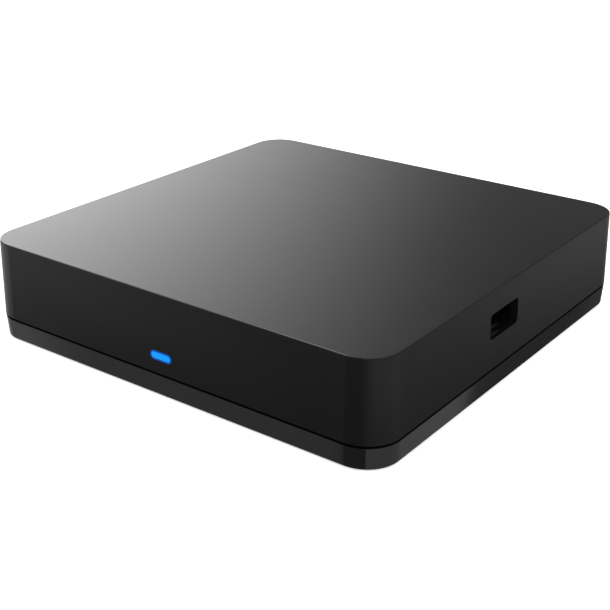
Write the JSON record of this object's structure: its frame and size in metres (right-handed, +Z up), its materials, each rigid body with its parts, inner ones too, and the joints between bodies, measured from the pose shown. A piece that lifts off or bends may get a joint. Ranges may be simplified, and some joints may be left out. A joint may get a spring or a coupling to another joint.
{
  "type": "streaming media player",
  "caption": "Low square black box with rounded corners: a deep satin top cover over a shallow gloss base, a lit pill window in front, a side USB port and rear sockets.",
  "frame": {"origin": "middle of the footprint, on the plane that the feet stand on", "axes": "+X to the right along the front, +Y to the back where the sockets are, +Z up"},
  "size_m": [0.124, 0.123, 0.027],
  "materials": {
    "cover_plastic": "fine satin moulded ABS, black",
    "base_plastic": "semi-gloss moulded ABS, black",
    "light_window": "translucent blue-lit acrylic",
    "rubber": "matt moulded rubber",
    "label": "blank matt film label",
    "screw_steel": "black zinc plated steel",
    "circuit_board": "glass-epoxy board with green solder mask",
    "chip_plastic": "epoxy chip package",
    "thermal_pad": "soft grey silicone pad",
    "heatsink": "clear anodised extrusion",
    "white_nylon": "natural nylon",
    "spring_steel": "bright spring wire",
    "ferrite": "moulded ferrite",
    "capacitor_can": "bare aluminium can",
    "small_ceramic": "fired ceramic with tinned ends",
    "nickel": "nickel plated sheet",
    "black_nickel": "black plated sheet steel",
    "gold_contacts": "gold flashed contacts",
    "aerial_film": "flexible film aerial",
    "cable_jacket": "coaxial cable jacket",
    "status_led": "clear lens, lit blue",
    "black_insulator": "black glass-filled nylon",
    "lan_lens": "clear tinted light pipe",
    "optical_lens": "red tinted lens"
  },
  "bodies": {
    "housing": {"top_cover": "cover_plastic", "base": "base_plastic", "light_pipe": "light_window", "rubber_feet": "rubber", "rating_label": "label", "case_screws": "screw_steel", "board_screws": "screw_steel", "main_board": "circuit_board", "soc_chip": "chip_plastic", "thermal_pad": "thermal_pad", "heatsink": "heatsink", "heatsink_pins": "white_nylon", "heatsink_springs": "spring_steel", "memory_chips": "chip_plastic", "storage_chip": "chip_plastic", "power_chips": "chip_plastic", "inductors": "ferrite", "bulk_capacitors": "capacitor_can", "small_parts": "small_ceramic", "crystals": "nickel", "lan_transformer": "chip_plastic", "wifi_board": "circuit_board", "wifi_shield": "nickel", "aerial_plugs": "gold_contacts", "aerials": "aerial_film", "aerial_cables": "cable_jacket", "status_light": "status_led", "usb_shell": "black_nickel", "usb_springs": "black_nickel", "usb_insert": "black_insulator", "usb_contacts": "gold_contacts", "usb_riser": "black_insulator", "hdmi_shell": "nickel", "hdmi_insert": "black_insulator", "hdmi_contacts": "gold_contacts", "lan_shield": "nickel", "lan_housing": "black_insulator", "lan_lights": "lan_lens", "lan_contacts": "gold_contacts", "optical_housing": "black_insulator", "optical_emitter": "optical_lens", "av_housing": "black_insulator", "av_ring": "gold_contacts", "dc_housing": "black_insulator", "dc_pin": "nickel", "reset_body": "black_insulator", "reset_frame": "nickel"},
    "reset_plunger": {"reset_plunger": "black_insulator"},
    "optical_shutter": {"optical_shutter": "black_insulator"}
  },
  "joints": [
    {"name": "reset_press", "type": "slide", "parent": "housing", "child": "reset_plunger", "axis": [0, -1, 0], "range_m": [0, 0.00025], "stiffness_N_per_m": 1, "springref_m": -0.001},
    {"name": "shutter_swing", "type": "hinge", "parent": "housing", "child": "optical_shutter", "pos_m": [-0.019, 0.05935, 0.01775], "axis": [-1, 0, 0], "range_deg": [0, 80], "stiffness_Nm_per_rad": 0.00002, "springref_deg": -20.05}
  ]
}
